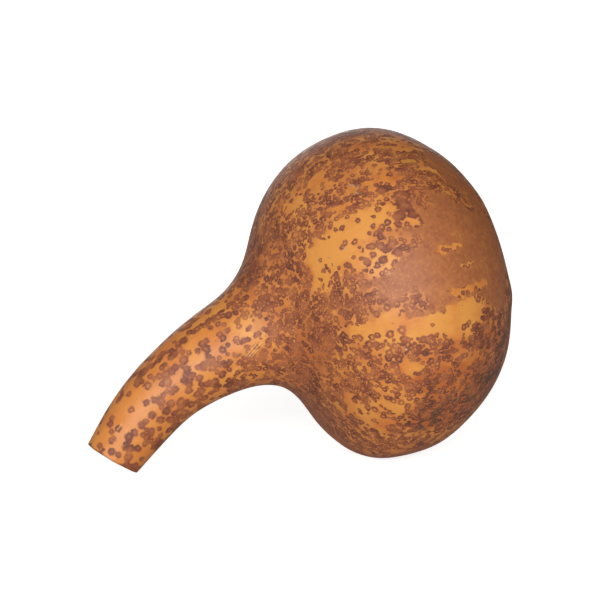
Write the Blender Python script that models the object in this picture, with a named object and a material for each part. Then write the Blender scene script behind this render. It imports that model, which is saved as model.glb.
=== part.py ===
"""A dried bottle gourd at rest: the bulb on its flat ground spot, the curved neck drooping to the surface.

Metres, +Z up. The neck bends in the XZ plane, with its sawn end at -X, and the origin is at the middle of
the bounding box's underside. The gourd grew as one piece, so it is one solid.
"""

import math

import bmesh
import bpy
import numpy as np
from mathutils import Vector

MM = 0.001

# Mid-plane outline in millimetres, as (x, z) from the middle of the ground spot.
# The back runs from the upper lip of the sawn end, over the crown, to the blossom end.
BACK = (
    (-211, 20), (-196, 45), (-178, 68), (-155, 90), (-131, 107), (-111, 121), (-94, 144),
    (-82, 175), (-62, 205), (-34, 223), (-2, 229), (30, 219), (60, 194), (77, 158), (85, 124),
)
BLOSSOM_END = (88, 100)
# The belly runs from the lower lip to the blossom end, with one point to match each point of the back.
# What lies below zero is flattened: the lip's edge, and the spot that the gourd grew on.
BELLY = (
    (-178, -1), (-159, 18), (-137, 37), (-112, 49), (-92, 54), (-75, 52), (-62, 43),
    (-49, 28), (-36, 11), (-19, -1), (2, -3), (27, 2), (51, 18), (73, 40), (85, 69),
)
GROUND_BLEND = 0.8  # height over which a flattened spot rolls into the round above it

RING_SIDES = 64
RINGS_PER_SPAN = 4  # rings from one outline point to the next
SHARP_ANGLE = 40  # degrees; only the rims of the saw cut are sharper

RIND = 4.5  # thickness of the woody rind at the saw cut
PITH_DEPTH = 2.5  # how far the dried pith has shrunk back from the saw cut
PITH_RINGS = ((0.0, 1.0), (0.6, 1.0), (0.94, 0.8), (1.0, 0.0))  # shares of the pith's radius and depth

BULB_HEART = (0, 0, 105)  # swellings push straight away from here
# Each hollow or swelling is its centre, its reach and its height.
SWELLINGS = (
    ((38, -50, 196), 30, -2.0),  # hollow on the near side of the crown
    ((-70, -60, 150), 40, -2.0),  # flat on the near shoulder
    ((10, 95, 120), 60, 2.5),  # fuller cheek on the far side
    ((20, -100, 90), 55, 1.5),  # fuller cheek on the near side
)


def clear_scene():
    for old in list(bpy.data.objects):
        bpy.data.objects.remove(old, do_unlink=True)


def smooth_line(points, count):
    """The natural cubic spline through the points, sampled at count even steps of the point number."""
    points = np.array(points, float)
    steps = np.linalg.norm(np.diff(points, axis=0), axis=1)
    span = np.sqrt(steps)
    last = len(span)
    matrix = np.eye(last + 1)
    right = np.zeros_like(points)
    for i in range(1, last):
        matrix[i, i - 1:i + 2] = span[i - 1], 2 * (span[i - 1] + span[i]), span[i]
        right[i] = 6 * ((points[i + 1] - points[i]) / span[i] - (points[i] - points[i - 1]) / span[i - 1])
    bend = np.linalg.solve(matrix, right)
    line = []
    for place in np.linspace(0, last, count):
        i = min(int(place), last - 1)
        h = span[i]
        after = (place - i) * h
        before = h - after
        line.append(
            (bend[i] * before**3 + bend[i + 1] * after**3) / (6 * h)
            + (points[i] / h - bend[i] * h / 6) * before
            + (points[i + 1] / h - bend[i + 1] * h / 6) * after
        )
    return np.array(line)


def sections():
    """Middles and half chords of the rings in the mid-plane, from the saw cut to the blossom end."""
    outline = [*BACK, BLOSSOM_END, *reversed(BELLY)]
    rings = len(BACK) * RINGS_PER_SPAN
    line = smooth_line(outline, 2 * rings + 1)
    back = line[:rings]
    belly = line[::-1][:rings]
    return (back + belly) / 2, (back - belly) / 2


def sawn_end(middle, half, inward):
    """The rings of the saw cut, from its centre outwards: the sunken pith, then the rind's inner edge."""
    pith = 1 - RIND / np.linalg.norm(half)
    return [(middle + inward * PITH_DEPTH * depth, half * pith * radius) for radius, depth in PITH_RINGS]


def all_rings():
    """Every ring of the gourd as its middle and half chord in millimetres, with a pole at each end."""
    middles, halves = sections()
    inward = middles[1] - middles[0]
    inward /= np.linalg.norm(inward)
    rings = sawn_end(middles[0], halves[0], inward)
    rings += list(zip(middles, halves))
    rings.append((np.array(BLOSSOM_END, float), np.zeros(2)))
    return rings


def swell(point):
    """The point moved by the hollows and swellings that reach it."""
    away = (point - Vector(BULB_HEART)).normalized()
    moved = point.copy()
    for middle, reach, height in SWELLINGS:
        distance = (point - Vector(middle)).length
        moved += away * height * math.exp(-((distance / reach) ** 2))
    return moved


def settle(height):
    """The height after what lies below the ground is flattened to zero, with a smooth roll above it."""
    if height <= -GROUND_BLEND:
        return 0.0
    if height >= GROUND_BLEND:
        return height
    return (height + GROUND_BLEND) ** 2 / (4 * GROUND_BLEND)


def centre_on_origin(model):
    """Moves the mesh so that the middle of its bounding box's underside is at the origin."""
    xs = [vert.co.x for vert in model.verts]
    ys = [vert.co.y for vert in model.verts]
    shift = Vector((-(min(xs) + max(xs)) / 2, -(min(ys) + max(ys)) / 2, 0))
    bmesh.ops.translate(model, verts=model.verts, vec=shift)


def build_gourd(collection):
    """A UV sphere whose rings are pulled onto the gourd's sections, pole to pole."""
    rings = all_rings()
    gaps = len(rings) - 1
    model = bmesh.new()
    bmesh.ops.create_uvsphere(model, u_segments=RING_SIDES, v_segments=gaps, radius=1.0)
    for vert in model.verts:
        polar = math.acos(max(-1.0, min(1.0, vert.co.z)))
        around = math.atan2(vert.co.y, vert.co.x)
        middle, half = rings[round(polar / math.pi * gaps)]
        x, z = middle + half * math.cos(around)
        y = -float(np.linalg.norm(half)) * math.sin(around)
        point = swell(Vector((x, y, z)))
        point.z = settle(point.z)
        vert.co = point * MM
    centre_on_origin(model)
    bmesh.ops.recalc_face_normals(model, faces=model.faces)
    mesh = bpy.data.meshes.new("gourd")
    model.to_mesh(mesh)
    model.free()
    mesh.shade_smooth()
    mesh.set_sharp_from_angle(angle=math.radians(SHARP_ANGLE))
    gourd = bpy.data.objects.new("gourd", mesh)
    collection.objects.link(gourd)
    return gourd


def rind_material():
    """Dried rind: a warm tan brown with a soft sheen."""
    material = bpy.data.materials.new("dried_rind")
    material.use_nodes = True
    shader = material.node_tree.nodes["Principled BSDF"]
    shader.inputs["Base Color"].default_value = (0.42, 0.17, 0.05, 1)
    shader.inputs["Roughness"].default_value = 0.45
    shader.inputs["Metallic"].default_value = 0.0
    return material


def main():
    clear_scene()
    collection = bpy.data.collections.new("bottle_gourd")
    bpy.context.scene.collection.children.link(collection)
    gourd = build_gourd(collection)
    gourd.data.materials.append(rind_material())


main()
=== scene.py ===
import math

import bmesh
import bpy
import numpy as np
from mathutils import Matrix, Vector, noise
from mathutils.bvhtree import BVHTree
from mathutils.kdtree import KDTree


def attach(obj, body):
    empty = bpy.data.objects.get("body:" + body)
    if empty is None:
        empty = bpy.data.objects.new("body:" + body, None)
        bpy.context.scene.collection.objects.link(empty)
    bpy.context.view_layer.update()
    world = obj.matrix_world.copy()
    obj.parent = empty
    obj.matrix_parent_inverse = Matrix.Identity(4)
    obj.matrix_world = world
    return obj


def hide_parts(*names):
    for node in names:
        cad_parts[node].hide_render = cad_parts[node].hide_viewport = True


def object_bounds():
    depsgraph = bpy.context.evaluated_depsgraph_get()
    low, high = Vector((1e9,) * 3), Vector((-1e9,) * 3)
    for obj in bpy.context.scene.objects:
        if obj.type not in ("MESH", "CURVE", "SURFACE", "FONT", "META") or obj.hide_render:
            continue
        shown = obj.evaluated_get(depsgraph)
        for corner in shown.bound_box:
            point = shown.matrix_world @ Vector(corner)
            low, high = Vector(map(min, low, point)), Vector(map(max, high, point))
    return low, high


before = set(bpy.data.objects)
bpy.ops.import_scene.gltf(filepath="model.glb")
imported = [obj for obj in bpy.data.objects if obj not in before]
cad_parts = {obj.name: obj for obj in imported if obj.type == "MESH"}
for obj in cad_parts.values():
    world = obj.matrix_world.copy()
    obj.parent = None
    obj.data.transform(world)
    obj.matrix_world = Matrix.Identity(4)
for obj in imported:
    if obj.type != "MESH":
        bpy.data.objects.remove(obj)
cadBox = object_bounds()
mm = 0.001


def linear(hexColour):
    # an sRGB hex colour as the linear values that a shader takes
    parts = [int(hexColour[i:i + 2], 16) / 255 for i in (1, 3, 5)]
    return [*(p / 12.92 if p <= 0.04045 else ((p + 0.055) / 1.055) ** 2.4 for p in parts), 1]


def addNode(tree, kind, settings=None, links=None):
    # one node with its settings and what feeds it; what comes back is its outputs
    node = tree.nodes.new("ShaderNode" + kind)
    for name, value in (settings or {}).items():
        if name == "stops":
            ramp = node.color_ramp.elements
            while len(ramp) < len(value):
                ramp.new(1)
            for stop, (place, colour) in zip(ramp, value):
                stop.position = place
                stop.color = linear(colour) if isinstance(colour, str) else [colour] * 3 + [1]
        elif isinstance(name, str) and hasattr(node, name):
            setattr(node, name, value)
        else:
            node.inputs[name].default_value = value
    for name, source in (links or {}).items():
        tree.links.new(source, node.inputs[name])
    return node.outputs


def startMaterial(name, settings):
    # a material and its tree, with the constants set on the shader's own sockets
    material = bpy.data.materials.new(name)
    material.use_nodes = True
    shader = material.node_tree.nodes["Principled BSDF"]
    for socket, value in settings.items():
        shader.inputs[socket].default_value = value
    return material, material.node_tree, shader


def smoothStep(low, high, values):
    share = np.clip((values - low) / (high - low), 0, 1)
    return share * share * (3 - 2 * share)


def directionOf(azimuth, elevation):
    # towards a place around the gourd, in degrees from straight in front and above the floor
    turn, tilt = math.radians(azimuth), math.radians(elevation)
    return Vector((math.sin(turn) * math.cos(tilt), -math.cos(turn) * math.cos(tilt), math.sin(tilt)))


# the camera looks a little down on the gourd, past its left front
camera = {
    "azimuth": -18.5,  # degrees from straight ahead along +Y
    "elevation": 11.5,
    "distance": 1.5,  # metres
    "lens": 129.2,  # mm, on a sensor 36 mm wide
    "across": 0.00251,  # where it aims, in metres from the middle of the gourd
    "upwards": -0.00291,
}


def makeCamera():
    back = directionOf(camera["azimuth"], camera["elevation"])
    turn = math.radians(camera["azimuth"])
    right = Vector((math.cos(turn), math.sin(turn), 0))
    middle = (Vector(cadBox[0]) + Vector(cadBox[1])) / 2
    aim = middle + right * camera["across"] + back.cross(right) * camera["upwards"]
    data = bpy.data.cameras.new("camera")
    data.lens = camera["lens"]
    data.sensor_width = 36
    data.clip_end = 100
    made = bpy.data.objects.new("camera", data)
    made.location = aim + back * camera["distance"]
    made.rotation_euler = back.to_track_quat("Z", "Y").to_euler()
    bpy.context.collection.objects.link(made)
    bpy.context.scene.camera = made


makeCamera()
print("camera made")

gourd = {
    "mergeDistance": 0.001 * mm,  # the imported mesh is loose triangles
    "levels": 2,  # subdivision of the merged cage
    "lipAngle": 40,  # degrees; only the rims of the saw cut are sharper
    "lumps": ((70, 0.9), (28, 0.3), (9, 0.05)),  # wavelength and height in mm
    "ribs": (2.2, 0.5, 0.22),  # ribs of the neck: how close around it and along it, and their height in mm
    "neckEnd": (-75, -20),  # mm along x where the neck's ribs die out into the bulb
    "groundFade": 8,  # mm above the surface where the lumps come in
    "dabs": (  # small swells of the outline: where, reach and height in mm
        ((132, -66, 120), 11, 1.4), ((116, -48, 186), 16, 1.2),
        ((98, -34, 210), 18, 0.7), ((42, -56, 11), 22, 2.2),
    ),
    "scar": ((11, -1.3), (3.2, 1.5)),  # blossom scar: reach and height in mm of its dimple and its nub
    "seed": (13.7, 4.1, 8.3),
    "cutFacing": (-0.537, 0, -0.844),  # the way that the saw cut faces
    "cutSlack": (0.2, 0.95),  # mm off the plane of the cut, and how nearly a face has to face its way
    "wall": 4.5,  # mm of woody wall around the pith
    "wallSlack": 2,  # mm
    "pithLumps": (3.0, 0.45),  # wavelength and height in mm
}


def ringsOf(mesh):
    # the rings of vertices, counted by edges from the blossom end to the saw cut
    cage = bmesh.new()
    cage.from_mesh(mesh)
    cage.verts.ensure_lookup_table()
    ring = [max(cage.verts, key=lambda v: len(v.link_edges) if v.co.x > 0 else 0)]
    seen = set(ring)
    rings = []
    while ring:
        rings.append([v.index for v in ring])
        ring = list({e.other_vert(v) for v in ring for e in v.link_edges} - seen)
        seen.update(ring)
    cage.free()
    return rings[::-1]


def addGrowthLines(mesh):
    # "grown" unrolls the rind: the direction around the growth axis, and the length from the saw cut in dm
    wholeRing = 40  # vertices at least, of which a pole has only one
    perMetre = 10
    co = np.array([v.co for v in mesh.vertices])
    rings = [r for r in ringsOf(mesh) if len(r) > wholeRing]
    middles = np.array([(co[r].min(0) + co[r].max(0)) / 2 for r in rings])
    radii = np.array([np.ptp(co[r][:, 1]) / 2 for r in rings])
    grown = np.zeros((len(co), 3), np.float32)
    grown[:, 2] = -1
    length = 0.0
    for i, ring in enumerate(rings):
        if i:
            length += math.hypot(np.linalg.norm(middles[i] - middles[i - 1]), radii[i] - radii[i - 1])
        ahead = middles[min(i + 2, len(rings) - 1)] - middles[max(i - 2, 0)]
        across = np.array([-ahead[2], 0, ahead[0]]) / math.hypot(ahead[0], ahead[2])
        out = co[ring] - middles[i]
        away = np.stack([out @ across, out[:, 1]], 1)
        grown[ring, :2] = away / np.maximum(np.linalg.norm(away, axis=1), 1e-9)[:, None]
        grown[ring, 2] = length * perMetre
    grown[(grown[:, 2] < 0) & (co[:, 0] > 0), 2] = length * perMetre
    grown[grown[:, 2] < 0, 2] = 0
    attribute = mesh.attributes.new("grown", "FLOAT_VECTOR", "POINT")
    attribute.data.foreach_set("vector", grown.ravel())


def readMesh(mesh, what="co"):
    # a vector of each vertex: its place, its normal, or one of its attributes
    own = {"co": (mesh.vertices, "co"), "normal": (mesh.vertex_normals, "vector")}
    data, field = own[what] if what in own else (mesh.attributes[what].data, "vector")
    values = np.zeros(len(mesh.vertices) * 3, np.float32)
    data.foreach_get(field, values)
    return values.reshape(-1, 3).astype(float)


def noiseAt(points, wavelength, seed):
    # smooth noise between about -1 and 1 at points in mm
    shift = Vector(seed)
    return np.array([noise.noise(Vector(p) / wavelength + shift) for p in points.tolist()])


def markSawCut(mesh):
    # the flat sawn wall takes the second material, and the sunken pith inside it the third
    facing = np.array(gourd["cutFacing"])
    off, alike = gourd["cutSlack"]
    co = readMesh(mesh) / mm
    lip = co[np.argmin(co[:, 0])]
    middles = np.array([f.center for f in mesh.polygons]) / mm
    normals = np.array([f.normal for f in mesh.polygons])
    depth = (lip - middles) @ facing
    sawn = (np.abs(depth) < off) & (normals @ facing > alike)
    mouth = middles[sawn].mean(0)
    width = np.linalg.norm(middles[sawn] - mouth, axis=1).max()
    inside = np.linalg.norm(middles - mouth, axis=1) < width - gourd["wall"] + gourd["wallSlack"]
    pith = inside & ~sawn & (depth > -off)
    slots = np.where(sawn, 1, np.where(pith, 2, 0)).astype(np.int32)
    mesh.polygons.foreach_set("material_index", slots)
    pithPoints = np.zeros(len(co))
    for face in np.nonzero(pith)[0]:
        pithPoints[list(mesh.polygons[face].vertices)] = 1
    return pithPoints


def shapeSurface(mesh):
    # lumps, ribs and the blossom scar, pushed in and out along the normals
    pithPoints = markSawCut(mesh)
    co = readMesh(mesh) / mm
    grown = readMesh(mesh, "grown")
    normals = readMesh(mesh, "normal")
    push = np.zeros(len(co))
    for i, (wavelength, height) in enumerate(gourd["lumps"]):
        push += height * noiseAt(co, wavelength, [s + i for s in gourd["seed"]])
    around, along, height = gourd["ribs"]
    ribs = grown * (around, around, along)
    push += height * noiseAt(ribs, 1, gourd["seed"]) * (1 - smoothStep(*gourd["neckEnd"], co[:, 0]))
    push *= smoothStep(0, gourd["groundFade"], co[:, 2])
    wavelength, height = gourd["pithLumps"]
    push += pithPoints * height * (noiseAt(co, wavelength, gourd["seed"]) - 0.5)
    for middle, reach, height in gourd["dabs"]:
        push += height * np.exp(-(np.linalg.norm(co - np.array(middle), axis=1) / reach) ** 2)
    blossom = co[np.argmax(grown[:, 2])]
    for reach, height in gourd["scar"]:
        push += height * np.exp(-(np.linalg.norm(co - blossom, axis=1) / reach) ** 2)
    co += normals * push[:, None]
    co[:, 2] = np.maximum(co[:, 2], 0)
    mesh.vertices.foreach_set("co", (co * mm).astype(np.float32).ravel())
    mesh.update()
    return blossom


def makeGourd():
    piece = bpy.data.objects.new("gourdRind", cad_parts["gourd"].data.copy())
    bpy.context.collection.objects.link(piece)
    bpy.ops.object.select_all(action="DESELECT")
    piece.select_set(True)
    bpy.context.view_layer.objects.active = piece
    bpy.ops.object.mode_set(mode="EDIT")
    bpy.ops.mesh.select_all(action="SELECT")
    bpy.ops.mesh.remove_doubles(threshold=gourd["mergeDistance"])
    bpy.ops.mesh.customdata_custom_splitnormals_clear()
    bpy.ops.mesh.tris_convert_to_quads(face_threshold=math.pi, shape_threshold=math.pi)
    bpy.ops.mesh.select_all(action="DESELECT")
    bpy.ops.mesh.select_mode(type="EDGE")
    bpy.ops.mesh.edges_select_sharp(sharpness=math.radians(gourd["lipAngle"]))
    bpy.ops.transform.edge_crease(value=1)
    bpy.ops.object.mode_set(mode="OBJECT")
    addGrowthLines(piece.data)
    smooth = piece.modifiers.new("smooth", "SUBSURF")
    smooth.levels = smooth.render_levels = gourd["levels"]
    bpy.ops.object.modifier_apply(modifier=smooth.name)
    blossom = shapeSurface(piece.data)
    bpy.ops.object.shade_smooth_by_angle(angle=math.radians(gourd["lipAngle"]))
    return piece, blossom


rind, blossomEnd = makeGourd()
print("gourd mesh:", len(rind.data.polygons), "faces; blossom end at", blossomEnd.round(1))

# The mould left the rind in zones. Each stroke is a line of points in mm, its reach in mm and what it paints.
# cover: from bare rind, over scattered spots, to a closed brown film; smooth: how far it hides the spots;
# pale: light centres of the spots; tone: bare rind from golden to deep red brown; soot: grey smudges.
zones = {
    "bulb": {"cover": 0.66, "smooth": 0.25, "pale": 0.6, "tone": 0.35, "soot": 0.0},
    "neck": {"cover": 0.48, "smooth": 0.0, "pale": 0.15, "tone": 0.15, "soot": 0.0},
    "mouth": {"cover": 0.22, "smooth": 0.0, "pale": 0.15, "tone": 0.15, "soot": 0.0},
    "strokes": (
        # the broad smooth brown of the right cheek
        (((38, -111, 137), (80, -103, 150), (116, -77, 157)), 25, {"cover": 1, "smooth": 1}),
        (((58, -93, 183), (101, -87, 166)), 21, {"cover": 0.95, "smooth": 0.9}),
        (((87, -48, 209), (105, -59, 189)), 15, {"cover": 0.95, "smooth": 0.9}),
        (((20, -102, 138), (37, -112, 134)), 12, {"cover": 1, "smooth": 0.7}),
        (((86, -104, 150), (114, -91, 128)), 14, {"cover": 1, "smooth": 0.9}),
        # the golden patch under the crown
        (((-8, -66, 149), (11, -83, 167)), 14, {"cover": 0.0, "tone": 0.0}),
        (((9, -75, 175), (43, -91, 183)), 9, {"cover": 0.1, "tone": 0.05}),
        (((43, -90, 184), (51, -96, 179)), 5, {"cover": 0, "tone": 0.1}),
        (((13, -92, 153), (32, -101, 160)), 7, {"cover": 0.05, "tone": 0.1}),
        (((-14, -59, 133), (-8, -68, 146)), 7, {"cover": 0.15, "tone": 0.1}),
        (((-4, -75, 139), (-2, -81, 129)), 4, {"cover": 0.1, "tone": 0.15}),
        # light streaks in the brown
        (((64, -106, 161), (81, -101, 162)), 2.4, {"cover": 0, "tone": 0.25}),
        (((79, -107, 149), (90, -102, 150)), 1.8, {"cover": 0, "tone": 0.25}),
        (((72, -114, 133), (99, -101, 136)), 2.8, {"cover": 0, "tone": 0.25}),
        (((17, -98, 144), (30, -104, 151)), 2.7, {"cover": 0, "tone": 0.2}),
        (((14, -99, 132), (19, -102, 137)), 2.2, {"cover": 0, "tone": 0.2}),
        # the golden band round the middle
        (((-3, -80, 126), (20, -107, 125), (47, -115, 129)), 8, {"cover": 0.85, "smooth": 0.4}),
        (((12, -97, 107), (35, -113, 112)), 8, {"cover": 0.05, "tone": 0.1}),
        (((8, -94, 116), (10, -96, 107)), 4, {"cover": 0, "tone": 0.1}),
        (((22, -107, 116), (33, -112, 123)), 3.5, {"cover": 0, "tone": 0.1}),
        (((34, -113, 110), (61, -118, 113)), 8, {"cover": 0, "tone": 0.1}),
        (((54, -117, 112), (69, -117, 118), (90, -110, 119)), 9, {"cover": 0, "tone": 0.15}),
        (((50, -117, 104), (83, -113, 105)), 5, {"cover": 0.1, "tone": 0.2}),
        # crowded light-centred spots under the band, and streaked ones to the right
        (((5, -78, 77), (50, -111, 76)), 17, {"cover": 0.8, "smooth": 0, "pale": 1}),
        (((52, -116, 96), (118, -88, 99)), 10, {"cover": 0.74, "smooth": 0, "tone": 0.8, "pale": 0.2}),
        (((40, -111, 85), (48, -112, 80)), 5, {"cover": 0.15, "tone": 0.2}),
        (((63, -114, 84), (78, -112, 85)), 3, {"cover": 0.1, "tone": 0.4}),
        (((73, -113, 84), (99, -102, 87)), 4.5, {"cover": 0.15, "tone": 0.5}),
        (((55, -113, 72), (112, -90, 74)), 13, {"cover": 0.74, "smooth": 0, "tone": 1, "pale": 0.4}),
        (((118, -85, 76), (131, -66, 112)), 14, {"cover": 0.88, "smooth": 0.1, "tone": 1, "soot": 0.7}),
        # brown where the neck joins
        (((-27, -44, 115), (-15, -53, 88)), 15, {"cover": 0.72, "smooth": 0.1, "tone": 0.5}),
        (((-16, -57, 122), (-4, -74, 99)), 13, {"cover": 0.85, "smooth": 0.25, "tone": 0.6}),
        (((-9, -61, 90), (-7, -33, 57)), 17, {"cover": 0.85, "smooth": 0.3, "tone": 0.8}),
        (((20, -20, 20), (2, -20, 43)), 15, {"cover": 0.85, "smooth": 0.4, "tone": 0.8}),
        # the underside
        (
            ((14, -73, 55), (25, -85, 50), (37, -96, 53), (55, -104, 59)), 9,
            {"cover": 0.15, "smooth": 0, "tone": 0.3},
        ),
        (((28, -78, 40), (51, -93, 43)), 7, {"cover": 0.2, "smooth": 0, "tone": 0.4}),
        (((34, -18, 5), (72, -55, 11)), 16, {"cover": 0.85, "smooth": 0.6, "tone": 0.7}),
        (((63, -97, 48), (111, -82, 61)), 19, {"cover": 0.76, "smooth": 0, "tone": 1, "soot": 1}),
        # the left flank and the crown
        (((-13, 37, 177), (-36, -6, 137)), 16, {"cover": 0.8, "smooth": 0.2, "tone": 0.8, "soot": 0.5}),
        (((-24, -21, 157), (-16, -56, 137)), 13, {"cover": 0.78, "smooth": 0.15, "tone": 0.6}),
        (((-24, 2, 165), (-17, -8, 181)), 7, {"cover": 0.45, "smooth": 0, "tone": 0.4}),
        (((-17, -23, 177), (-9, -36, 184)), 7, {"cover": 0.42, "smooth": 0, "tone": 0.3}),
        (((-7, -28, 192), (5, -39, 201)), 6, {"cover": 0.45, "smooth": 0, "tone": 0.4}),
        (((19, 5, 219), (86, -12, 221)), 14, {"cover": 0.85, "smooth": 0.3, "tone": 1, "soot": 0.6}),
        (((12, -37, 207), (28, -30, 219), (57, -30, 225)), 7, {"cover": 0.58, "smooth": 0.1, "tone": 0.4}),
        (((58, -46, 219), (74, -40, 219)), 4, {"cover": 0.15, "tone": 0.3}),
        (((70, -64, 208), (80, -61, 205)), 3, {"cover": 0, "tone": 0.2}),
        (((39, -69, 204), (29, -82, 187)), 3.5, {"cover": 0.1, "tone": 0.1}),
        (((45, -71, 204), (47, -84, 192)), 5, {"cover": 0.85, "smooth": 0}),
        (((55, -78, 199), (60, -88, 189)), 6, {"cover": 0.9, "smooth": 0.2}),
        # the near side of the neck's end, where the spots stand apart
        (((-142, -12, 26), (-118, -19, 54)), 13, {"cover": 0.1}),
        (((-123, -21, 16), (-99, -25, 43), (-85, -28, 56)), 9, {"cover": 0.3}),
    ),
    "strokeEdge": (0.55, 1.25),  # shares of the reach where a stroke starts to fade and has gone
    "neckFade": (-95, -25),  # mm along x, from all neck to all bulb
    "mouthFade": (-150, -95),
    # on the far side each value swings about the bulb's, in patches
    "farSide": {"cover": 0.55, "smooth": 1.2, "pale": 0.8, "tone": 0.5, "soot": 0.9},
    "farFacing": ((0.31, 0.93, -0.2), (-0.05, 0.25)),  # the way it faces, and where it begins
    "farPatches": (2.2, 1.6),  # how close around the growth axis, and along it
    "seed": (3.2, 7.7, 1.9),
}


def paintZones(mesh):
    co = readMesh(mesh) / mm
    grown = readMesh(mesh, "grown")
    facing, begins = zones["farFacing"]
    far = smoothStep(*begins, readMesh(mesh, "normal") @ np.array(facing))
    onNeck = 1 - smoothStep(*zones["neckFade"], co[:, 0])
    atMouth = 1 - smoothStep(*zones["mouthFade"], co[:, 0])
    around, along = zones["farPatches"]
    patches = grown * (around, around, along)
    full, gone = zones["strokeEdge"]
    for i, (name, value) in enumerate(zones["bulb"].items()):
        swing = zones["farSide"][name] * noiseAt(patches, 1, [s + 5 * i for s in zones["seed"]])
        field = value + far * swing
        field += (zones["neck"][name] - field) * onNeck
        field += (zones["mouth"][name] - field) * atMouth
        for points, reach, paint in zones["strokes"]:
            if name not in paint:
                continue
            away = np.full(len(co), 1e9)
            for start, end in zip(points, points[1:]):
                start, end = np.array(start, float), np.array(end, float)
                share = np.clip((co - start) @ (end - start) / ((end - start) @ (end - start)), 0, 1)
                away = np.minimum(away, np.linalg.norm(co - start - share[:, None] * (end - start), axis=1))
            field += (paint[name] - field) * (1 - smoothStep(full * reach, gone * reach, away))
        attribute = mesh.attributes.new(name, "FLOAT", "POINT")
        attribute.data.foreach_set("value", np.clip(field, 0, 1).astype(np.float32))


paintZones(rind.data)
print("zones painted")

# Each mould spot is a disc about a point of the surface. Those that stand apart on the near side are listed
# as x, z and radius in mm. The rest are sown at random and kept where the cover is thick.
spots = {
    "ringed": (
        (11, 181, 1.9), (8, 181, 1.8), (16, 179, 2.1), (2, 176, 1.9), (29, 176, 2.5), (35, 184, 1.8),
        (31, 191, 1.6), (29, 189, 1.6), (12, 166, 2.2), (7, 165, 1.9), (5, 162, 1.8), (-6, 152, 1.8),
        (35, 111, 2.9), (28, 108, 2.9), (12, 104, 2.4), (9, 104, 1.9), (18, 105, 2.5), (21, 107, 2.1),
        (23, 99, 1.9), (17, 100, 2.8), (39, 101, 2.8), (9, 47, 2.2), (26, 52, 2.8), (32, 47, 2.5),
        (28, 43, 2.1), (35, 60, 2.4), (40, 59, 2.4), (46, 65, 2.0), (51, 67, 1.9), (-137, 32, 2.2),
        (-98, 31, 2.5), (-83, 49, 3.1), (-112, 63, 3.1), (-124, 47, 2.5), (-76, 99, 2.8),
    ),
    "solid": (
        (21, 172, 1.5), (27, 170, 2.4), (33, 166, 3.5), (21, 164, 2.8), (26, 164, 2.8), (7, 174, 2.1),
        (6, 151, 2.0), (17, 154, 3.1), (39, 178, 2.8), (55, 114, 1.5), (87, 110, 2.1), (49, 104, 2.7),
        (36, 105, 2.7), (66, 98, 2.1), (58, 107, 1.7), (56, 105, 1.9), (60, 103, 1.7), (63, 107, 1.1),
        (47, 37, 1.8), (-144, 29, 1.5), (-123, 32, 2.9), (-117, 30, 2.4), (-126, 21, 3.2), (-138, 19, 2.7),
        (-134, 17, 2.4), (-128, 10, 2.4), (-117, 12, 2.1), (-109, 20, 2.2), (-106, 25, 2.7), (-105, 40, 3.1),
        (-101, 46, 3.5), (-98, 51, 3.2), (-97, 39, 3.1), (-92, 41, 2.5), (-86, 64, 2.8), (-86, 60, 2.8),
        (-77, 54, 2.5), (-77, 59, 3.2), (-68, 65, 3.1), (-57, 61, 3.2), (-111, 44, 2.9), (-114, 52, 2.4),
        (-109, 54, 2.7), (-91, 90, 1.8), (-94, 85, 2.4), (-112, 71, 3.5), (-109, 74, 2.8), (-118, 63, 2.8),
        (-115, 65, 2.4), (46, 189, 5.5), (41, 183, 4.5), (50, 184, 4.0), (35, 198, 4.2), (44, 195, 3.5),
        (36, 161, 4.0), (26, 156, 3.2), (73, 206, 3.0), (31, 164, 3.0), (57, 180, 4.0), (21, 159, 2.6),
    ),
    "hearts": {"ringed": 0.8, "solid": 0.1},  # how light the middles of the listed spots are
    "neckHearts": (-70, 0.4),  # mm along x where the neck starts, and how much of that they keep on it
    "onNeck": (2.0, 3.6),  # radii in mm
    "onBulb": (1.1, 2.6),
    "neckFade": (-85, -25),  # mm along x, from the neck's radii to the bulb's
    "small": 1.3,  # above 1 there are more small spots than large ones
    "tries": 60000,
    "jitter": 1.5,  # mm
    "closeness": 0.58,  # of the two radii
    "cell": 7,  # mm; no two spots further apart than this crowd each other
    "sowing": 1.1,  # how readily the cover bears spots
    "plain": 0.35,  # share of the sown spots without a light heart
    "twins": (0.45, 1.1, 0.85),  # share of spots with a twin, how far off it is in radii, and its size
    "neckAxis": (0.8, 0, 0.6),  # the way that twins lie on the neck; elsewhere it is to the blossom end
    "clumps": (15, 0.55),  # mm between clumps, and how much they gather the spots
    "seed": 11,
}


def surfaceOf(mesh):
    # the mesh in mm, for casting points onto it
    points = [Vector(v.co) / mm for v in mesh.vertices]
    return BVHTree.FromPolygons(points, [p.vertices[:] for p in mesh.polygons])


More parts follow.
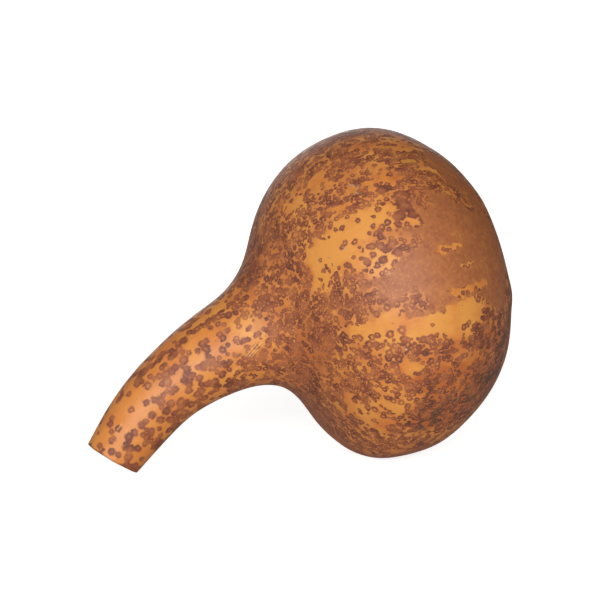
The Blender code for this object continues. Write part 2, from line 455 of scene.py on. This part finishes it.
def sowSpots(mesh):
    co = readMesh(mesh) / mm
    cover, pale = (np.zeros(len(co), np.float32) for _ in range(2))
    mesh.attributes["cover"].data.foreach_get("value", cover)
    mesh.attributes["pale"].data.foreach_get("value", pale)
    faces = len(mesh.polygons)
    areas = np.zeros(faces, np.float32)
    mesh.polygons.foreach_get("area", areas)
    middles = np.zeros(faces * 3, np.float32)
    mesh.polygons.foreach_get("center", middles)
    middles = middles.reshape(-1, 3) / mm
    corners = np.array([p.vertices[0] for p in mesh.polygons])
    normals = np.array([p.normal for p in mesh.polygons])

    # the points that could bear a spot, each with its radius and a light heart
    surface = surfaceOf(mesh)
    rng = np.random.default_rng(spots["seed"])
    placed = []
    edge, dulled = spots["neckHearts"]
    for kind, heart in spots["hearts"].items():
        for x, z, radius in spots[kind]:
            point = surface.ray_cast(Vector((x, -300, z)), Vector((0, 1, 0)))[0]
            placed.append((*point, radius, heart * (dulled if x < edge else 1)))
    picked = rng.choice(faces, spots["tries"], p=areas / areas.sum())
    jitter = rng.uniform(-0.5, 0.5, (spots["tries"], 3)) * spots["jitter"]
    chances = rng.uniform(0, 1, (spots["tries"], 3))
    twinned = rng.uniform(0, 1, spots["tries"])
    neck = 1 - smoothStep(*spots["neckFade"], middles[picked, 0])
    least = spots["onBulb"][0] + (spots["onNeck"][0] - spots["onBulb"][0]) * neck
    most = spots["onBulb"][1] + (spots["onNeck"][1] - spots["onBulb"][1]) * neck
    radii = least + (most - least) * chances[:, 0] ** spots["small"]
    grid = {}
    kept = []
    cell = spots["cell"]
    wavelength, gather = spots["clumps"]
    twins, twinStep, twinSize = spots["twins"]
    for i in range(-len(placed), len(picked)):  # those listed come first, below zero
        byHand = i < 0
        if byHand:
            x, y, z, radius, heart = placed[i]
        else:
            x, y, z = middles[picked[i]] + jitter[i]
            radius = radii[i]
        key = (int(x // cell), int(y // cell), int(z // cell))
        near = [
            s for dx in (-1, 0, 1) for dy in (-1, 0, 1) for dz in (-1, 0, 1)
            for s in grid.get((key[0] + dx, key[1] + dy, key[2] + dz), ())
        ]
        if not byHand and any(
            (s[0] - x) ** 2 + (s[1] - y) ** 2 + (s[2] - z) ** 2 < (spots["closeness"] * (s[3] + radius)) ** 2
            for s in near
        ):
            continue
        grid.setdefault(key, []).append((x, y, z, radius))
        if not byHand:
            corner = corners[picked[i]]
            clump = noise.noise(Vector((x, y, z)) / wavelength + Vector(zones["seed"]))
            if chances[i, 1] > cover[corner] * spots["sowing"] + gather * clump * min(1, 3 * cover[corner]):
                continue
            heart = pale[corner] * (chances[i, 2] > spots["plain"])
        kept.append((x, y, z, radius, heart))
        if not byHand and heart < 0.3 and twinned[i] < twins:
            ahead = np.array(spots["neckAxis"]) if neck[i] > 0.5 else blossomEnd - (x, y, z)
            ahead = ahead - normals[picked[i]] * (ahead @ normals[picked[i]])
            step = twinStep * radius * ahead / np.linalg.norm(ahead)
            kept.append((x + step[0], y + step[1], z + step[2], twinSize * radius, 0))

    # every face keeps the three nearby spots that reach it most; a look is a radius and a heart
    tree = KDTree(len(kept))
    for i, spot in enumerate(kept):
        tree.insert(spot[:3], i)
    tree.balance()
    kept = np.array(kept)
    nearest = np.array([[hit[1] for hit in tree.find_n(m, 7)] for m in middles])
    reach = np.linalg.norm(kept[nearest, :3] - middles[:, None], axis=2) / kept[nearest, 3]
    order = np.take_along_axis(nearest, np.argsort(reach, axis=1)[:, :3], axis=1)
    for rank in range(3):
        spot = kept[order[:, rank]]
        look = np.pad(spot[:, 3:], ((0, 0), (0, 1)))
        for name, values in ((f"spot{rank}", spot[:, :3]), (f"look{rank}", look)):
            attribute = mesh.attributes.new(name, "FLOAT_VECTOR", "FACE")
            attribute.data.foreach_set("vector", values.astype(np.float32).ravel())
    return len(kept)


print("spots sown:", sowSpots(rind.data))

# Sun-dried gourd rind, scraped and rubbed smooth: a hard waxy wood with mould rings in it.
# It gives a golden to red brown ground, dark-rimmed brown discs, and a soft satin sheen.
rindLook = {
    "bare": ("#ca883f", "#bc7033", "#a85a26"),  # golden, tan, deep red brown
    "mould": ("#a5653a", "#8a4e30", "#703b27", "#583428"),  # film, body and rim of the spots, and the oldest
    "soot": ("#3f372c", 9),  # colour, and mm between smudges
    "warp": (2.8, 1.3, 0.7),  # mm between bends of a spot's outline, their depth, and how far it is drawn out
    "clumps": 11,  # mm between thick places of the mould on the neck
    "streaks": (16, 6),  # the same on the bulb: how close around the growth axis, and along it
    "flecks": (42, 15),  # ragged edges of the spots, in the same way
    "fibres": (70, 14),  # grain of the rind, in the same way
    "mottle": 3,  # mm between dark places of the film
    "age": 8,  # mm between old and young spots
    "blush": (22, 0.4),  # mm between red places of the bare rind, and how far it drifts
    "pores": ((5, 0.3, "#3a1f14"), (24, 0.5, "#cdb283")),  # mm apart, radius in mm, colour
    "marks": (  # both ends in mm, half width in mm, colour, and how far it covers
        ((-47.4, -34.1, 82.4), (-40.9, -36.2, 90.7), 0.28, "#dcae6a", 0.65),
        ((-45.3, -34.5, 82.4), (-37.1, -37.7, 92.2), 0.28, "#dcae6a", 0.65),
        ((-44.0, -34.6, 81.6), (-39.6, -36.5, 87.2), 0.22, "#dcae6a", 0.6),
        ((-55.8, -31.2, 71.3), (-51.2, -32.6, 76.1), 0.28, "#d8a864", 0.6),
        ((-133.6, -16.6, 33.5), (-130.3, -17.4, 37.6), 0.25, "#dcae6a", 0.6),
        ((36.2, -93.2, 49.2), (37.9, -94.4, 49.7), 0.5, "#1c120c", 0.9),
        ((56.5, -57.5, 213.5), (64.4, -56.3, 213.5), 2.7, "#6b3a20", 0.5),
        ((56.5, -57.5, 213.5), (64.4, -56.3, 213.5), 1.9, "#bd8138", 0.85),
        ((17, -59, 201), (20, -61, 200), 0.45, "#8d8a78", 0.6),
        ((20, -66, 196), (21, -67, 194.5), 0.5, "#8f8c7c", 0.6),
        ((20.5, -65, 198), (22, -63, 201), 0.35, "#a09a84", 0.6),
        ((-3, -74, 155), (-1, -75, 154), 0.35, "#7d7664", 0.6),
        ((-1, -77, 151), (0.5, -77, 149), 0.4, "#5a4a3a", 0.7),
        ((5, -81, 163), (7, -82, 160), 0.4, "#948f7e", 0.6),
        ((28, -105, 149), (29.5, -105, 146.5), 0.45, "#8c8874", 0.6),
        ((37.5, -113, 98.5), (38.5, -113, 97.5), 0.45, "#c9b88e", 0.5),
        ((-8, -67, 152), (-5.5, -67, 151), 0.35, "#8a8470", 0.5),
    ),
    "markEdge": (0.2, -0.15),  # mm outside and inside a mark's rim where it starts and is full
    "lip": ("#3d2416", 1.6, 0.3),  # colour, and mm behind the lip where it starts and is full
    "scar": ("#7a5a3a", "#33241a"),  # cork of the blossom end, and its rim
    "roughness": (0.46, 0.6),
    "ior": 1.42,
}


def makeRindMaterial():
    material, tree, shader = startMaterial("driedGourdRind", {"IOR": rindLook["ior"]})
    place = addNode(tree, "TexCoord")["Object"]
    place = addNode(tree, "VectorMath", {"operation": "SCALE", "Scale": 1 / mm}, {0: place})[0]
    zone = {
        name: addNode(tree, "Attribute", {"attribute_name": name})["Fac"]
        for name in ("cover", "smooth", "pale", "tone", "soot")
    }
    grown = addNode(tree, "Attribute", {"attribute_name": "grown"})["Vector"]
    sides = addNode(tree, "SeparateXYZ", None, {0: place})
    neck = addNode(tree, "MapRange", {"From Min": -30, "From Max": -90}, {0: sides["X"]})[0]

    # outlines of the spots wander, and are drawn out from neck to blossom
    spacing, depth, drawn = rindLook["warp"]
    bend = addNode(
        tree, "TexNoise", {"Scale": 1 / spacing, "Detail": 2, "Roughness": 0.6}, {"Vector": place}
    )["Color"]
    bend = addNode(tree, "VectorMath", {"operation": "SUBTRACT", 1: (0.5, 0.5, 0.5)}, {0: bend})[0]
    warped = addNode(
        tree, "VectorMath", {"operation": "MULTIPLY_ADD", 1: (2 * depth,) * 3}, {0: bend, 2: place}
    )[0]
    around, along = rindLook["flecks"]
    flecks = addNode(tree, "VectorMath", {"operation": "MULTIPLY", 1: (around, around, along)}, {0: grown})[0]
    flecks = addNode(
        tree, "TexNoise", {"Scale": 1, "Detail": 4, "Roughness": 0.65}, {"Vector": flecks}
    )["Fac"]

    # how thickly the mould lies: clumps in the round, and streaks from neck to blossom on the bulb
    clumps = addNode(
        tree, "TexNoise", {"Scale": 1 / rindLook["clumps"], "Detail": 5, "Roughness": 0.6}, {"Vector": warped}
    )["Fac"]
    around, along = rindLook["streaks"]
    streaks = addNode(
        tree, "VectorMath", {"operation": "MULTIPLY", 1: (around, around, along)}, {0: grown}
    )[0]
    streaks = addNode(
        tree, "TexNoise", {"Scale": 1, "Detail": 5, "Roughness": 0.65}, {"Vector": streaks}
    )["Fac"]
    thick = addNode(tree, "Mix", None, {0: neck, 2: streaks, 3: clumps})[0]
    thick = addNode(tree, "Math", {"operation": "ADD"}, {0: thick, 1: clumps})[0]
    thick = addNode(
        tree, "MapRange", {"From Min": 0.6, "From Max": 1.4, "To Min": -0.55, "To Max": 0.55}, {0: thick}
    )[0]
    thick = addNode(tree, "Math", {"operation": "ADD"}, {0: thick, 1: zone["cover"]})[0]

    # brown film where the mould is thickest, thin at its edges and mottled
    film = addNode(tree, "MapRange", {"To Max": 0.35}, {0: neck})[0]
    film = addNode(tree, "Math", {"operation": "SUBTRACT"}, {0: thick, 1: film})[0]
    film = addNode(
        tree, "ValToRGB", {"stops": ((0.5, 0), (0.62, 0.38), (0.8, 0.46), (1, 0.54))}, {0: film}
    )["Color"]
    mottle = addNode(
        tree, "TexNoise", {"Scale": 1 / rindLook["mottle"], "Detail": 5, "Roughness": 0.7}, {"Vector": warped}
    )["Fac"]
    mottle = addNode(
        tree, "MapRange", {"From Min": 0.3, "From Max": 0.7, "To Min": 0.7, "To Max": 1.25}, {0: mottle}
    )[0]
    film = addNode(tree, "Math", {"operation": "MULTIPLY"}, {0: film, 1: mottle})[0]
    closed = addNode(tree, "MapRange", {"From Max": 0.7, "To Min": 0.15}, {0: zone["smooth"]})[0]
    film = addNode(tree, "Math", {"operation": "MULTIPLY"}, {0: film, 1: closed})[0]

    # the mould spots run together into blots with one dark rim, and keep a light heart each
    blot, heart = None, None
    for rank in range(3):
        centre = addNode(tree, "Attribute", {"attribute_name": f"spot{rank}"})["Vector"]
        look = addNode(tree, "Attribute", {"attribute_name": f"look{rank}"})["Vector"]
        look = addNode(tree, "SeparateXYZ", None, {0: look})
        outward = addNode(tree, "VectorMath", {"operation": "DISTANCE"}, {0: warped, 1: centre})["Value"]
        outward = addNode(tree, "Math", {"operation": "DIVIDE"}, {0: outward, 1: look["X"]})[0]
        light = addNode(tree, "MapRange", {"From Min": 0.5, "From Max": 0.15}, {0: outward})[0]
        light = addNode(tree, "Math", {"operation": "MULTIPLY"}, {0: light, 1: look["Y"]})[0]
        if blot is None:
            blot, heart = outward, light
        else:
            blot = addNode(tree, "Math", {"operation": "SMOOTH_MIN", 2: 0.3}, {0: blot, 1: outward})[0]
            heart = addNode(tree, "Math", {"operation": "MAXIMUM"}, {0: heart, 1: light})[0]
    ragged = addNode(tree, "MapRange", {"To Min": drawn, "To Max": -drawn}, {0: flecks})[0]
    deeper = addNode(tree, "MapRange", {"From Min": 0.5, "To Min": 1, "To Max": 1.9}, {0: zone["tone"]})[0]
    ragged = addNode(tree, "Math", {"operation": "MULTIPLY"}, {0: ragged, 1: deeper})[0]
    blot = addNode(tree, "Math", {"operation": "ADD"}, {0: blot, 1: ragged})[0]
    body = addNode(
        tree, "ValToRGB",
        {"stops": ((0, 0.73), (0.4, 0.76), (0.65, 0.85), (0.85, 0.91), (1, 0.84))}, {0: blot},
    )["Color"]
    age = addNode(tree, "TexNoise", {"Scale": 1 / rindLook["age"], "Detail": 3}, {"Vector": place})["Fac"]
    age = addNode(
        tree, "MapRange", {"From Min": 0.35, "From Max": 0.65, "To Min": 0.7, "To Max": 1.12}, {0: age}
    )[0]
    body = addNode(tree, "Math", {"operation": "MULTIPLY"}, {0: body, 1: age})[0]
    older = addNode(tree, "MapRange", {"From Min": 0.5, "To Min": 1, "To Max": 1.12}, {0: zone["tone"]})[0]
    body = addNode(tree, "Math", {"operation": "MULTIPLY"}, {0: body, 1: older})[0]
    body = addNode(tree, "Math", {"operation": "MULTIPLY_ADD", 1: -0.65}, {0: heart, 2: body})[0]
    inside = addNode(tree, "MapRange", {"From Min": 1.2, "From Max": 0.84}, {0: blot})[0]
    dark = addNode(tree, "Mix", None, {0: inside, 2: film, 3: body})[0]

    # old film hides the rims
    veil = addNode(tree, "MapRange", {"From Min": 0.25, "From Max": 0.4, "To Max": 0.85}, {0: film})[0]
    veil = addNode(tree, "Math", {"operation": "MULTIPLY"}, {0: veil, 1: zone["smooth"]})[0]
    dark = addNode(tree, "Mix", None, {0: veil, 2: dark, 3: film})[0]

    # colours of the bare rind, with the fibres that run from neck to blossom
    around, along = rindLook["fibres"]
    fibres = addNode(tree, "VectorMath", {"operation": "MULTIPLY", 1: (around, around, along)}, {0: grown})[0]
    fibres = addNode(tree, "TexNoise", {"Scale": 1, "Detail": 3}, {"Vector": fibres})["Fac"]
    spacing, swing = rindLook["blush"]
    blush = addNode(
        tree, "TexNoise", {"Scale": 1 / spacing, "Detail": 4, "Roughness": 0.6}, {"Vector": place}
    )["Fac"]
    blush = addNode(
        tree, "MapRange", {"From Min": 0.3, "From Max": 0.7, "To Min": -swing, "To Max": swing}, {0: blush}
    )[0]
    calm = addNode(tree, "MapRange", {"To Min": 1, "To Max": 0.5}, {0: neck})[0]
    blush = addNode(tree, "Math", {"operation": "MULTIPLY"}, {0: blush, 1: calm})[0]
    grain = addNode(tree, "MapRange", {"To Min": 0.35, "To Max": 0.75}, {0: neck})[0]
    grain = addNode(tree, "Math", {"operation": "MULTIPLY"}, {0: grain, 1: fibres})[0]
    tone = addNode(tree, "Math", {"operation": "ADD"}, {0: blush, 1: grain})[0]
    tone = addNode(tree, "Math", {"operation": "ADD"}, {0: tone, 1: zone["tone"]})[0]
    golden, tan, deep = rindLook["bare"]
    bare = addNode(tree, "ValToRGB", {"stops": ((0.2, golden), (0.7, tan), (1, deep))}, {0: tone})["Color"]
    mould = addNode(
        tree, "ValToRGB", {"stops": tuple(zip((0.45, 0.7, 0.9, 1), rindLook["mould"]))}, {0: dark}
    )["Color"]
    shown = addNode(tree, "MapRange", {"From Min": 0.02, "From Max": 0.5}, {0: dark})[0]
    colour = addNode(tree, "Mix", {"data_type": "RGBA"}, {0: shown, 6: bare, 7: mould})[2]
    sootColour, spacing = rindLook["soot"]
    soot = addNode(tree, "TexNoise", {"Scale": 1 / spacing, "Detail": 3}, {"Vector": warped})["Fac"]
    soot = addNode(tree, "MapRange", {"From Min": 0.5, "From Max": 0.62, "To Max": 0.7}, {0: soot})[0]
    soot = addNode(tree, "Math", {"operation": "MULTIPLY"}, {0: soot, 1: zone["soot"]})[0]
    colour = addNode(tree, "Mix", {"data_type": "RGBA", 7: linear(sootColour)}, {0: soot, 6: colour})[2]

    # pores as fine as pinpricks, and specks of light scale
    for spacing, radius, speck in rindLook["pores"]:
        size = radius / spacing
        pores = addNode(tree, "TexVoronoi", {"Scale": 1 / spacing}, {"Vector": warped})["Distance"]
        pores = addNode(
            tree, "MapRange", {"From Min": 1.2 * size, "From Max": 0.7 * size, "To Max": 0.7}, {0: pores}
        )[0]
        colour = addNode(tree, "Mix", {"data_type": "RGBA", 7: linear(speck)}, {0: pores, 6: colour})[2]

    # scratches and a slit, each along a line on the surface
    surface = surfaceOf(rind.data)
    outer, inner = rindLook["markEdge"]
    for start, end, width, paint, share in rindLook["marks"]:
        start, end = (surface.find_nearest(Vector(p))[0] for p in (start, end))
        along = end - start
        away = addNode(tree, "VectorMath", {"operation": "SUBTRACT", 1: start}, {0: place})[0]
        part = addNode(
            tree, "VectorMath", {"operation": "DOT_PRODUCT", 1: along / along.length_squared}, {0: away}
        )["Value"]
        part = addNode(tree, "MapRange", {"To Max": -1}, {0: part})[0]
        back = addNode(tree, "VectorMath", {"operation": "SCALE", 0: along}, {"Scale": part})[0]
        away = addNode(tree, "VectorMath", {"operation": "ADD"}, {0: away, 1: back})[0]
        away = addNode(tree, "VectorMath", {"operation": "LENGTH"}, {0: away})["Value"]
        rim = {"From Min": width + outer, "From Max": width + inner, "To Max": share}
        away = addNode(tree, "MapRange", rim, {0: away})[0]
        colour = addNode(tree, "Mix", {"data_type": "RGBA", 7: linear(paint)}, {0: away, 6: colour})[2]

    # the corky scar where the blossom was
    cork, corkRim = rindLook["scar"]
    reach = addNode(tree, "VectorMath", {"operation": "DISTANCE", 1: blossomEnd}, {0: warped})["Value"]
    scar = addNode(tree, "MapRange", {"From Max": 14}, {0: reach})[0]
    scarColour = addNode(
        tree, "ValToRGB", {"stops": ((0, corkRim), (0.16, cork), (0.3, cork), (0.38, corkRim))}, {0: scar}
    )["Color"]
    scarShare = addNode(tree, "ValToRGB", {"stops": ((0.36, 0.9), (0.5, 0.45), (0.9, 0))}, {0: scar})["Color"]
    colour = addNode(tree, "Mix", {"data_type": "RGBA"}, {0: scarShare, 6: colour, 7: scarColour})[2]

    # the skin is dark and frayed at the lip of the saw cut
    facing = gourd["cutFacing"]
    lipColour, starts, full = rindLook["lip"]
    lip = (np.array([v.co for v in rind.data.vertices]) @ np.array(facing) / mm).max()
    ahead = addNode(tree, "VectorMath", {"operation": "DOT_PRODUCT", 1: facing}, {0: warped})["Value"]
    ahead = addNode(
        tree, "MapRange", {"From Min": lip - starts, "From Max": lip - full, "To Max": 0.75}, {0: ahead}
    )[0]
    colour = addNode(tree, "Mix", {"data_type": "RGBA", 7: linear(lipColour)}, {0: ahead, 6: colour})[2]

    low, high = rindLook["roughness"]
    rough = addNode(tree, "MapRange", {"To Min": low, "To Max": high}, {0: dark})[0]
    bump = addNode(tree, "Bump", {"Strength": 0.25, "Distance": 0.15 * mm}, {"Height": fibres})[0]
    for socket, source in (("Base Color", colour), ("Roughness", rough), ("Normal", bump)):
        tree.links.new(source, shader.inputs[socket])
    return material


# The wall of the gourd where it was sawn through: dry, light, close-grained wood.
# It gives a pale matt ring, with fine saw marks straight across it.
sawnLook = {
    "wood": ("#c99a62", "#a2713f"),
    "sawMarks": (0.8, 0.1),  # mm between two, and how slowly they change along the stroke
    "roughness": 0.75,
}


def makeSawnMaterial():
    material, tree, shader = startMaterial("sawnGourdWall", {"Roughness": sawnLook["roughness"]})
    place = addNode(tree, "TexCoord")["Object"]
    spacing, drawn = sawnLook["sawMarks"]
    fine = 1 / (spacing * mm)
    stroke = addNode(
        tree, "VectorMath", {"operation": "MULTIPLY", 1: (drawn * fine, fine, drawn * fine)}, {0: place}
    )[0]
    stroke = addNode(tree, "TexNoise", {"Scale": 1, "Detail": 4}, {"Vector": stroke})["Fac"]
    light, shade = sawnLook["wood"]
    colour = addNode(tree, "ValToRGB", {"stops": ((0.35, shade), (0.6, light))}, {0: stroke})["Color"]
    bump = addNode(tree, "Bump", {"Strength": 0.5, "Distance": 0.2 * mm}, {"Height": stroke})[0]
    tree.links.new(colour, shader.inputs["Base Color"])
    tree.links.new(bump, shader.inputs["Normal"])
    return material


# Dried pith, shrunk back into the neck: a spongy, fibrous, dusty mass.
# It gives a matt buff filling with dark holes.
pithLook = {
    "pith": ("#d2b78c", "#6d4c2c"),
    "holes": 1.6,  # mm between two
    "roughness": 0.95,
}


def makePithMaterial():
    material, tree, shader = startMaterial("driedGourdPith", {"Roughness": pithLook["roughness"]})
    place = addNode(tree, "TexCoord")["Object"]
    fine = 1 / (pithLook["holes"] * mm)
    holes = addNode(
        tree, "TexNoise", {"Scale": fine, "Detail": 5, "Roughness": 0.7}, {"Vector": place}
    )["Fac"]
    light, shade = pithLook["pith"]
    colour = addNode(tree, "ValToRGB", {"stops": ((0.38, shade), (0.55, light))}, {0: holes})["Color"]
    bump = addNode(tree, "Bump", {"Strength": 0.8, "Distance": 0.5 * mm}, {"Height": holes})[0]
    tree.links.new(colour, shader.inputs["Base Color"])
    tree.links.new(bump, shader.inputs["Normal"])
    return material


cutFaces = [f.material_index for f in rind.data.polygons]
rind.data.materials.clear()
for material in (makeRindMaterial(), makeSawnMaterial(), makePithMaterial()):
    rind.data.materials.append(material)
rind.data.polygons.foreach_set("material_index", cutFaces)
print("materials made;", cutFaces.count(1), "sawn faces and", cutFaces.count(2), "of pith")

# The floor is a frosted acrylic sheet, lit from below.
# It gives a plain white ground that still takes soft shadows.
studio = {
    "floorSize": 60,  # metres
    "floorColour": "#cfcdca",
    "floorRoughness": 0.9,
    "floorGlow": 0.8,  # as the camera sees it; it throws no light on the gourd
    "world": (0.28, 0.03),  # how bright the room is on the left and on the right
    "lights": (  # compass, height and width in degrees, and strength
        ("leftLight", -37, 14, 34, 2.2),
        ("rightLight", -3, 17, 34, 1.87),
        ("backLight", 165, 4, 40, 0.8),
    ),
}


def makeFloor():
    bpy.ops.mesh.primitive_plane_add(size=studio["floorSize"])
    floor = bpy.context.active_object
    floor.name = "floor"
    material, tree, shader = startMaterial("whiteLightTable", {
        "Base Color": linear(studio["floorColour"]),
        "Roughness": studio["floorRoughness"],
        "Emission Color": (1, 1, 1, 1),
    })
    seen = addNode(tree, "LightPath")["Is Camera Ray"]
    glow = addNode(tree, "Math", {"operation": "MULTIPLY", 1: studio["floorGlow"]}, {0: seen})[0]
    tree.links.new(glow, shader.inputs["Emission Strength"])
    floor.data.materials.append(material)
    return floor


def makeLights():
    for name, compass, height, width, strength in studio["lights"]:
        data = bpy.data.lights.new(name, "SUN")
        data.angle = math.radians(width)
        data.energy = strength
        light = bpy.data.objects.new(name, data)
        light.rotation_euler = directionOf(compass, height).to_track_quat("Z", "Y").to_euler()
        bpy.context.collection.objects.link(light)
    world = bpy.data.worlds.new("studio")
    world.use_nodes = True
    tree = world.node_tree
    tree.nodes.clear()
    left, right = studio["world"]
    direction = addNode(tree, "TexCoord")["Generated"]
    aside = addNode(tree, "SeparateXYZ", None, {0: direction})["X"]
    room = addNode(
        tree, "MapRange", {"From Min": -0.7, "From Max": 0.7, "To Min": left, "To Max": right}, {0: aside}
    )[0]
    seen = addNode(tree, "LightPath")["Is Camera Ray"]
    strength = addNode(tree, "Mix", {3: 1.0}, {0: seen, 2: room})[0]
    background = addNode(tree, "Background", {"Color": (1, 1, 1, 1)}, {"Strength": strength})[0]
    addNode(tree, "OutputWorld", None, {0: background})
    bpy.context.scene.world = world


floor = makeFloor()
makeLights()
bpy.context.scene.view_settings.view_transform = "Standard"
print("studio made")

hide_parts("gourd")
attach(rind, "root")
bpy.context.view_layer.update()
